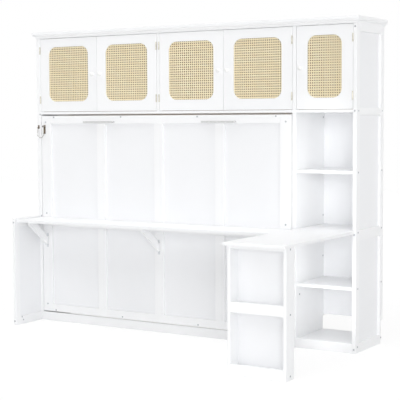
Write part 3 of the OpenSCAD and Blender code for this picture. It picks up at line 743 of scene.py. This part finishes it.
@dataclass
class Carcass(SubAssembly):
    """The fixed cabinet: posts, rails, panels, shelves, crown and plinth."""

    body: str = "cabinet"
    board_nodes: tuple[str, ...] = (
        "cupboard_floor_boards", "cupboard_top_boards", "front_top_rails",
        "back_stretchers", "plinth_rails", "bay_shelves", "support_cleats",
    )
    side_nodes: tuple[str, ...] = (
        "side_posts", "side_rails", "divider_panel", "cupboard_partition",
    )
    cove_nodes: tuple[str, ...] = ("crown_cove_front", "crown_cove_sides")
    cove_angle: float = 30.0
    # The room inside the cupboards lies above, behind and between these planes.
    inside_low: float = 1.507
    inside_front: float = 0.285
    inside_end: float = 1.2350
    # Beyond this distance from the middle a side face is inside only if it looks inward.
    outer_wall: float = 1.15
    # The share of a face's normal along an axis from which it looks that way.
    facing: float = 0.3

    def build(self) -> None:
        """Builds every board of the cabinet."""
        for node in self.board_nodes:
            self.boards(node, self.body, self.finishes.board, self.board_ease)
        self.boards("crown_board", self.body, self.finishes.moulding, self.board_ease)
        for node in self.side_nodes:
            self.cupboard_sides(node, self.finishes.board, self.board_ease)
        self.cupboard_sides("side_panels", self.finishes.panel, self.panel_ease)
        self.boards("bay_back_panel", self.body, self.finishes.panel, self.panel_ease)
        # The cupboards' back panel takes the dark ply colour as painted shade behind the cane.
        self.boards("upper_back_panel", self.body, self.finishes.shade_ply, self.panel_ease)
        for node in self.cove_nodes:
            self.cove(node)

    def cupboard_sides(self, node: str, paint: Coat, width: float) -> None:
        """Adds a node of boards, in a dark ply colour where they face into a cupboard, as painted
        shade seen through the cane.

        Args:
            node: the CAD node.
            paint: the finish along X, Y and Z everywhere else.
            width: how far the edges are eased.
        """
        mesh = self.eased(node, width)
        for point, normal in (
            ((0.0, 0.0, self.inside_low), (0.0, 0.0, 1.0)),
            ((0.0, self.inside_front, 0.0), (0.0, 1.0, 0.0)),
            ((self.inside_end, 0.0, 0.0), (1.0, 0.0, 0.0)),
            ((-self.inside_end, 0.0, 0.0), (1.0, 0.0, 0.0)),
        ):
            everything = [*mesh.verts, *mesh.edges, *mesh.faces]
            bmesh.ops.bisect_plane(mesh, geom=everything, plane_co=point, plane_no=normal)
        for face in mesh.faces:
            middle = face.calc_center_median()
            inside = middle.z > self.inside_low and middle.y > self.inside_front
            inward = abs(middle.x) < self.outer_wall or middle.x * face.normal.x < 0.0
            sideways = inward and abs(face.normal.x) > self.facing
            forward = abs(middle.x) < self.inside_end and face.normal.y < -self.facing
            # Faces inside a cupboard take the dark ply colour: painted shade behind the cane.
            if inside and (sideways or forward):
                face.material_index += len(paint.materials)
        coat = Coat([*paint.materials, *self.finishes.shade_ply.materials], paint.slot)
        self.declare(mesh, f"{node}_eased", self.body, coat, node)

    def cove(self, node: str) -> None:
        """Adds a cove moulding with its hollow left smooth.

        Args:
            node: the CAD node.
        """
        mesh = opened(node)
        ease(mesh, self.panel_ease, segments=1)
        mark_runs(mesh, len(node))
        coat = self.finishes.moulding
        self.declare(mesh, f"{node}_smoothed", self.body, coat, node, self.cove_angle)


@dataclass
class ReturnDesk(SubAssembly):
    """The return desk and the end rack that carries it."""

    body: str = "cabinet"
    board_nodes: tuple[str, ...] = (
        "return_desk_top", "rack_sides", "rack_shelves", "rack_rails",
    )

    def build(self) -> None:
        """Builds the desk top, the rack and its back."""
        for node in self.board_nodes:
            self.boards(node, self.body, self.finishes.board, self.board_ease)
        self.boards("rack_back_panel", self.body, self.finishes.panel, self.panel_ease)


@dataclass
class Bed(SubAssembly):
    """The folding bed: its panelled face, its box, and the slats that carry the mattress."""

    body: str = "bed"
    face_nodes: tuple[str, ...] = ("bed_outer_stiles", "bed_face_rails", "bed_inner_stiles")
    box_nodes: tuple[str, ...] = ("bed_side_rails", "bed_end_rails")
    slat_nodes: tuple[str, ...] = ("slats", "slat_ledges")
    box_ease: float = 0.0018
    slat_ease: float = 0.0020

    def build(self) -> None:
        """Builds the face, the box and the slats."""
        for node in self.face_nodes:
            self.boards(node, self.body, self.finishes.board, self.board_ease)
        self.boards("bed_face_panels", self.body, self.finishes.panel, self.panel_ease)
        for node in self.box_nodes:
            self.boards(node, self.body, self.finishes.board, self.box_ease)
        for node in self.slat_nodes:
            self.boards(node, self.body, self.finishes.pine, self.slat_ease)


@dataclass
class FoldDesk(SubAssembly):
    """The fold-down desk: its board, the three braces, and the hinges of both."""

    braces: tuple[str, ...] = ("brace_left", "brace_middle", "brace_right")
    desk_ease: float = 0.0016
    brace_ease: float = 0.0012
    pin_ease: float = 0.0003

    def build(self) -> None:
        """Builds the board, the pins, the braces and the fixed hinge halves."""
        self.boards("desk_board", "desk", self.finishes.board, self.desk_ease)
        self.fitting("desk_hinge_pins", "desk", self.finishes.steel, self.pin_ease)
        for brace in self.braces:
            self.boards(brace, brace, self.finishes.board, self.brace_ease)
        self.fitting("desk_and_brace_hinges", "bed", self.finishes.steel)


@dataclass(frozen=True)
class RoundedSheet:
    """The outline of a cane sheet, as x and z: its lowest and highest corner, both rounded."""

    low: Vector
    high: Vector
    radius: float
    # How many points along a strand are tried, and how often the step to its end is halved.
    marks: int = 120
    halvings: int = 10
    # A strand shorter than this is left out.
    shortest: float = 0.004

    @property
    def middle(self) -> Vector:
        """The middle of the sheet."""
        return (self.low + self.high) / 2

    @property
    def reach(self) -> float:
        """The distance from corner to corner."""
        return (self.high - self.low).length

    def holds(self, point: Vector) -> bool:
        """Says if a point lies on the sheet.

        Args:
            point: the point, as x and z.

        Returns:
            True where it does.
        """
        low, high, radius = self.low, self.high, self.radius
        if not (low.x <= point.x <= high.x and low.y <= point.y <= high.y):
            return False
        near = Vector((
            min(max(point.x, low.x + radius), high.x - radius),
            min(max(point.y, low.y + radius), high.y - radius),
        ))
        return (point - near).length <= radius

    def cut(self, centre: Vector, along: Vector) -> "tuple[float, float] | None":
        """Cuts a strand to the sheet.

        Args:
            centre: a point on the strand's middle line, as x and z.
            along: the strand's direction, as x and z, of length one.

        Returns:
            Where it starts and ends along its direction, or None where it misses the sheet.
        """
        steps = [self.reach * (2 * mark / self.marks - 1) for mark in range(self.marks + 1)]
        held = [step for step in steps if self.holds(centre + along * step)]
        if not held:
            return None
        ends = []
        for start, way in ((held[0], -1.0), (held[-1], 1.0)):
            near, far = start, start + way * 2 * self.reach / self.marks
            for _ in range(self.halvings):
                middle = (near + far) / 2
                if self.holds(centre + along * middle):
                    near = middle
                else:
                    far = middle
            ends.append(near)
        return (ends[0], ends[1]) if ends[1] - ends[0] > self.shortest else None


@dataclass(frozen=True)
class StrandLayer:
    """The strands that run one way.

    They have a depth as a share of the sheet's, a width, a distance from row to row, and the
    places of the strands of a row.
    """

    strand: Strand
    depth: float
    width: float
    pitch: float
    places: tuple[float, ...]


@dataclass
class Webbing:
    """The cane webbing of one door, in the place of its plain sheet."""

    sheet: RoundedSheet
    # Where the two faces of the sheet lie along Y.
    front: float
    back: float
    seed: int
    thick: float = 0.0007
    shoulder: float = 0.0006

    def __post_init__(self) -> None:
        """Starts a mesh with no strand in it."""
        self.mesh = bmesh.new()
        self.tones = self.mesh.faces.layers.float.new(STRAND_TONE)
        self.chance = random.Random(self.seed)

    def weave(self, layers: tuple[StrandLayer, ...]) -> bmesh.types.BMesh:
        """Lays the layers, one on the other.

        Args:
            layers: the layers, the frontmost first.

        Returns:
            The mesh.
        """
        for layer in layers:
            self.lay(layer)
        bmesh.ops.recalc_face_normals(self.mesh, faces=self.mesh.faces)
        return self.mesh

    def lay(self, layer: StrandLayer) -> None:
        """Lays every strand of a layer that meets the sheet.

        Args:
            layer: the layer.
        """
        angle = math.radians(layer.strand.value)
        along = Vector((math.cos(angle), math.sin(angle)))
        across = Vector((-along.y, along.x))
        rows = int(self.sheet.reach / layer.pitch / 2) + 2
        for row in range(-rows, rows + 1):
            for place in layer.places:
                centre = self.sheet.middle + across * (row * layer.pitch + place)
                ends = self.sheet.cut(centre, along)
                if ends:
                    spot = centre + along * (ends[0] + ends[1]) / 2
                    self.strand(layer, spot, ends[1] - ends[0])

    def strand(self, layer: StrandLayer, spot: Vector, length: float) -> None:
        """Lays one strand with a flat back and sloping shoulders.

        Args:
            layer: the layer that it belongs to.
            spot: its middle, as x and z.
            length: its length.
        """
        y = self.front + (self.back - self.front) * layer.depth
        turn = Matrix.Rotation(-math.radians(layer.strand.value), 4, "Y")
        place = Matrix.Translation((spot.x, y, spot.y)) @ turn
        size = Matrix.Diagonal((length, self.thick, layer.width, 1.0))
        made = bmesh.ops.create_cube(self.mesh, size=1.0, matrix=place @ size)["verts"]
        crest = (layer.width - 2 * self.shoulder) / layer.width
        narrow = place @ Matrix.Diagonal((1.0, 1.0, crest, 1.0)) @ place.inverted()
        front = [v for v in made if v.co.y < y]
        bmesh.ops.transform(self.mesh, matrix=narrow, verts=front)
        tone = self.chance.random()
        for face in {f for v in made for f in v.link_faces}:
            face.material_index = list(Strand).index(layer.strand)
            face[self.tones] = tone


@dataclass
class Door(SubAssembly):
    """One cupboard door: its frame, the cane webbing, its turned knob and its hinge leaves."""

    number: int = 1
    frame_ease: float = 0.0012
    # The strip at the rim of the CAD sheet that the strands leave free.
    sheet_land: float = 0.0006
    corner_r: float = 0.0640
    pitch: float = 0.0155
    pair_offset: float = 0.0018
    pair_width: float = 0.0034
    diagonal_width: float = 0.0021
    cane_angle: float = 80.0
    # The radius and the distance from the door, from the foot of the knob to its crown.
    knob_profile: tuple[tuple[float, float], ...] = (
        (0.0000, 0.0000), (0.0088, 0.0000), (0.0092, 0.0008), (0.0088, 0.0020),
        (0.0072, 0.0026), (0.0062, 0.0040), (0.0058, 0.0070), (0.0062, 0.0098),
        (0.0078, 0.0116), (0.0110, 0.0130), (0.0136, 0.0148), (0.0145, 0.0170),
        (0.0141, 0.0196), (0.0127, 0.0222), (0.0102, 0.0245), (0.0070, 0.0260),
        (0.0035, 0.0268), (0.0000, 0.0270),
    )
    knob_steps: int = 36
    knob_angle: float = 60.0
    # Among the fittings of the door only the knob is lower than this.
    knob_limit: float = 0.04

    @property
    def body(self) -> str:
        """The body of this door."""
        return f"door_{self.number}"

    def build(self) -> None:
        """Builds the four pieces of the door."""
        frame = f"{self.body}_frame"
        self.boards(frame, self.body, self.finishes.board, self.frame_ease)
        self.cane(f"{self.body}_cane")
        self.fittings(f"{self.body}_fittings")

    def cane(self, node: str) -> None:
        """Weaves the cane: paired level and upright strands, and single ones on the diagonals.

        Args:
            node: the CAD node of the plain sheet.
        """
        low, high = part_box(node)
        land = Vector((self.sheet_land, self.sheet_land))
        sheet = RoundedSheet(
            Vector((low.x, low.z)) + land, Vector((high.x, high.z)) - land, self.corner_r
        )
        pair = (-self.pair_offset, self.pair_offset)
        slant = self.pitch / math.sqrt(2)
        layers = (
            StrandLayer(Strand.FALLING, 0.24, self.diagonal_width, slant, (slant / 2,)),
            StrandLayer(Strand.LEVEL, 0.41, self.pair_width, self.pitch, pair),
            StrandLayer(Strand.UPRIGHT, 0.58, self.pair_width, self.pitch, pair),
            StrandLayer(Strand.RISING, 0.75, self.diagonal_width, slant, (slant / 2,)),
        )
        mesh = Webbing(sheet, low.y, high.y, self.number).weave(layers)
        self.declare(mesh, f"{node}_webbing", self.body, self.finishes.cane, node, self.cane_angle)

    def fittings(self, node: str) -> None:
        """Takes the hinge leaves from the CAD and turns the knob anew.

        Args:
            node: the CAD node of the leaves and the knob.
        """
        mesh = opened(node)
        boxes = [(group, *spans(group)) for group in solids(mesh)]
        knob, low, high = next(box for box in boxes if (box[2] - box[1]).z < self.knob_limit)
        bmesh.ops.delete(mesh, geom=knob, context="VERTS")
        ease(mesh, self.metal_ease, segments=1, angle=self.metal_angle)
        self.declare(mesh, f"{self.body}_hinge_leaves", self.body, self.finishes.brass, node)
        self.declare(
            self.knob(low, high), f"{self.body}_knob", self.body, self.finishes.lacquer, node,
            self.knob_angle,
        )

    def knob(self, low: Vector, high: Vector) -> bmesh.types.BMesh:
        """Turns the knob on its axis.

        Args:
            low: the lowest corner of the CAD knob.
            high: its highest corner.

        Returns:
            The mesh.
        """
        centre = Vector(((low.x + high.x) / 2, high.y, (low.z + high.z) / 2))
        mesh = bmesh.new()
        points = [mesh.verts.new(centre + Vector((r, -out, 0.0))) for r, out in self.knob_profile]
        edges = [mesh.edges.new(pair) for pair in zip(points, points[1:])]
        bmesh.ops.spin(
            mesh,
            geom=points + edges,
            cent=centre,
            axis=(0, 1, 0),
            angle=math.tau,
            steps=self.knob_steps,
            use_merge=True,
        )
        bmesh.ops.remove_doubles(mesh, verts=mesh.verts, dist=MERGE_DISTANCE)
        bmesh.ops.recalc_face_normals(mesh, faces=mesh.faces)
        return mesh


@dataclass
class Fittings(SubAssembly):
    """Bolts, handles, pivots, latch and the fixed brassware."""

    bolt_ease: float = 0.0003
    latch_ease: float = 0.0005
    pivot_ease: float = 0.0006
    bush_ease: float = 0.0005
    handle_ease: float = 0.0010
    # Below this the brassware of the cabinet is the keeper of the latch, above it hinges.
    hinge_floor: float = 1.5

    def build(self) -> None:
        """Builds the metal fittings of the cabinet and of the bed."""
        shelf = self.finishes
        self.fitting("cabinet_bolts", "cabinet", shelf.zinc, self.bolt_ease)
        self.brassware("cabinet_brassware")
        self.fitting("pivot_plates", "cabinet", shelf.steel, self.pivot_ease)
        self.fitting("bed_bolts", "bed", shelf.zinc, self.bolt_ease)
        self.fitting("pivot_bushes", "bed", shelf.brass, self.bush_ease)
        self.fitting("latch_plate", "bed", shelf.bronze, self.latch_ease)
        self.fitting("bed_handles", "bed", shelf.satin, self.handle_ease)
        self.fitting("latch_hook", "latch", shelf.rod, self.latch_ease)

    def brassware(self, node: str) -> None:
        """Adds the fixed hinge leaves in brass and the keeper of the latch in bronze.

        Args:
            node: the CAD node of both.
        """
        piece = self.fitting(node, "cabinet", self.finishes.brass)
        for material in self.finishes.bronze.materials:
            piece.data.materials.append(material)
        for face in piece.data.polygons:
            face.material_index = int(face.center.z < self.hinge_floor)


# ---------------------------------------------------------------- studio


@dataclass(frozen=True)
class PaleFloor:
    """The studio floor: matt white that fades into the background and keeps a soft shadow."""

    name: str = "studio_floor"
    size: float = 30.0
    tint: Colour = (0.94, 0.94, 0.94)
    mottle: Pattern = Pattern(3.0, 2.0)
    mottle_depth: float = 0.01
    roughness: float = 0.8
    glow: float = 1.06
    glow_share: float = 0.80

    def lay(self) -> None:
        """Lays the floor."""
        mesh = bmesh.new()
        bmesh.ops.create_grid(mesh, x_segments=2, y_segments=2, size=self.size / 2)
        data = bpy.data.meshes.new(self.name)
        mesh.to_mesh(data)
        mesh.free()
        data.materials.append(self.matt())
        floor = bpy.data.objects.new(self.name, data)
        bpy.context.scene.collection.objects.link(floor)

    def matt(self) -> bpy.types.Material:
        """Makes the matt white, which glows a little for the camera alone.

        Returns:
            The material.
        """
        bench = NodeBench(self.name)
        tint = linear(self.tint)
        deeper = tuple(channel * (1.0 - self.mottle_depth) for channel in tint)
        mottle = bench.spread(bench.pattern(self.mottle), 0.0, 1.0)
        bench.feed("Base Color", bench.blend(mottle, tint, deeper))
        bench.sockets(Roughness=self.roughness)
        glow = bench.add("ShaderNodeEmission")
        glow.inputs["Strength"].default_value = self.glow
        path = bench.add("ShaderNodeLightPath")
        share = bench.add("ShaderNodeMath", operation="MULTIPLY")
        share.inputs[1].default_value = self.glow_share
        mixed = bench.add("ShaderNodeMixShader")
        bench.join(path.outputs["Is Camera Ray"], share.inputs[0])
        bench.join(share.outputs[0], mixed.inputs[0])
        bench.join(bench.shader.outputs[0], mixed.inputs[1])
        bench.join(glow.outputs[0], mixed.inputs[2])
        bench.join(mixed.outputs[0], bench.tree.nodes["Material Output"].inputs["Surface"])
        return bench.material


def aimed(light: bpy.types.Light, way: Vector) -> bpy.types.Object:
    """Hangs a lamp so that its light runs one way.

    Args:
        light: the light.
        way: the direction in which it shines.

    Returns:
        The lamp.
    """
    lamp = bpy.data.objects.new(light.name, light)
    lamp.rotation_euler = way.to_track_quat("-Z", "Y").to_euler()
    bpy.context.scene.collection.objects.link(lamp)
    return lamp


@dataclass(frozen=True)
class SoftLamp:
    """A broad lamp far away: its strength, the way its light runs, and how wide it looks."""

    name: str
    strength: float
    direction: Place
    softness: float

    def hang(self) -> None:
        """Hangs the lamp."""
        light = bpy.data.lights.new(self.name, "SUN")
        light.energy = self.strength
        light.angle = math.radians(self.softness)
        aimed(light, Vector(self.direction))


@dataclass(frozen=True)
class PanelLamp:
    """A lamp panel near the object.

    It has a power, a middle, a point that it faces, a size, and the angle of its beam.
    """

    name: str
    power: float
    middle: Place
    aim: Place
    size: tuple[float, float]
    spread: float

    def hang(self) -> None:
        """Hangs the lamp, out of sight of the camera."""
        light = bpy.data.lights.new(self.name, "AREA")
        light.energy = self.power
        light.shape = "RECTANGLE"
        light.size, light.size_y = self.size
        light.spread = math.radians(self.spread)
        lamp = aimed(light, Vector(self.aim) - Vector(self.middle))
        lamp.location = self.middle
        lamp.visible_camera = False
        lamp.visible_glossy = False


@dataclass(frozen=True)
class Studio:
    """The background, the lamps and the camera of the photograph."""

    room_light: float = 0.375
    seen_light: float = 1.0
    lamps: "tuple[SoftLamp | PanelLamp, ...]" = (
        SoftLamp("camera_fill", 1.10, (-0.52, 0.85, -0.08), 30.0),
        SoftLamp("right_fill", 0.48, (-1.00, 0.15, -0.30), 50.0),
        SoftLamp("overhead", 1.46, (0.05, 0.30, -0.95), 60.0),
        PanelLamp("upper_bay", 0.42, (1.18, -0.02, 1.14), (1.01, 0.35, 1.12), (0.16, 0.66), 80.0),
        PanelLamp("bay_middle", 0.24, (1.04, 0.16, 0.72), (1.04, 0.30, 0.42), (0.30, 0.08), 170.0),
        PanelLamp("lower_bay", 0.42, (1.10, 0.00, 0.35), (1.03, 0.60, 0.36), (0.20, 0.42), 100.0),
        PanelLamp("rack_front", 0.25, (0.30, -2.30, 1.70), (1.05, -0.67, 0.40), (0.6, 0.6), 40.0),
        PanelLamp("rack_side", 0.25, (2.10, -2.20, 0.75), (1.15, -0.60, 0.40), (0.7, 0.7), 60.0),
    )
    # The camera that was solved from the photograph, with its angles in radians.
    eye: Place = (4.15424, -6.29360, 1.46199)
    yaw: float = 0.5517345505
    pitch: float = 0.0701764241
    roll: float = -0.0044631905
    lens: float = 103.98498
    sensor: float = 36.0
    sight: float = 60.0

    def set_up(self) -> None:
        """Sets up the background, the lamps, the floor and the camera."""
        bpy.context.scene.view_settings.view_transform = "Standard"
        self.background()
        for lamp in self.lamps:
            lamp.hang()
        PaleFloor().lay()
        self.camera()

    def background(self) -> None:
        """Makes the room white where it is seen or mirrored, and a soft light elsewhere."""
        world = bpy.data.worlds.new("soft_room")
        bpy.context.scene.world = world
        world.use_nodes = True
        tree = world.node_tree
        room, seen_room = tree.nodes["Background"], tree.nodes.new("ShaderNodeBackground")
        for node, strength in ((room, self.room_light), (seen_room, self.seen_light)):
            node.inputs["Color"].default_value = (1.0, 1.0, 1.0, 1.0)
            node.inputs["Strength"].default_value = strength
        path = tree.nodes.new("ShaderNodeLightPath")
        seen = path.outputs["Is Camera Ray"]
        for way in ("Is Glossy Ray", "Is Transmission Ray"):
            either = tree.nodes.new("ShaderNodeMath")
            either.operation = "MAXIMUM"
            tree.links.new(seen, either.inputs[0])
            tree.links.new(path.outputs[way], either.inputs[1])
            seen = either.outputs[0]
        mixed = tree.nodes.new("ShaderNodeMixShader")
        for source, place in ((seen, 0), (room.outputs[0], 1), (seen_room.outputs[0], 2)):
            tree.links.new(source, mixed.inputs[place])
        tree.links.new(mixed.outputs[0], tree.nodes["World Output"].inputs["Surface"])

    def camera(self) -> None:
        """Places the camera where the photograph was taken."""
        ahead = Vector((
            -math.sin(self.yaw) * math.cos(self.pitch),
            math.cos(self.yaw) * math.cos(self.pitch),
            -math.sin(self.pitch),
        ))
        right = Vector((math.cos(self.yaw), math.sin(self.yaw), 0.0))
        up = right.cross(ahead)
        level = math.cos(self.roll) * right + math.sin(self.roll) * up
        upright = math.cos(self.roll) * up - math.sin(self.roll) * right
        turn = Matrix((level, upright, -ahead)).transposed().to_4x4()
        data = bpy.data.cameras.new("photo_camera")
        data.lens = self.lens
        data.sensor_width = self.sensor
        data.clip_end = self.sight
        camera = bpy.data.objects.new("photo_camera", data)
        camera.matrix_world = Matrix.Translation(self.eye) @ turn
        bpy.context.scene.collection.objects.link(camera)
        bpy.context.scene.camera = camera


def main() -> None:
    """Builds the sub-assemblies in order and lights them."""
    logging.basicConfig(level=logging.INFO, format="%(message)s")
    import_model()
    finishes = FinishShelf()
    Carcass(finishes).build()
    ReturnDesk(finishes).build()
    Bed(finishes).build()
    FoldDesk(finishes).build()
    for number in range(1, DOOR_COUNT + 1):
        Door(finishes, number=number).build()
    Fittings(finishes).build()
    Studio().set_up()


if __name__ == "__main__":
    main()
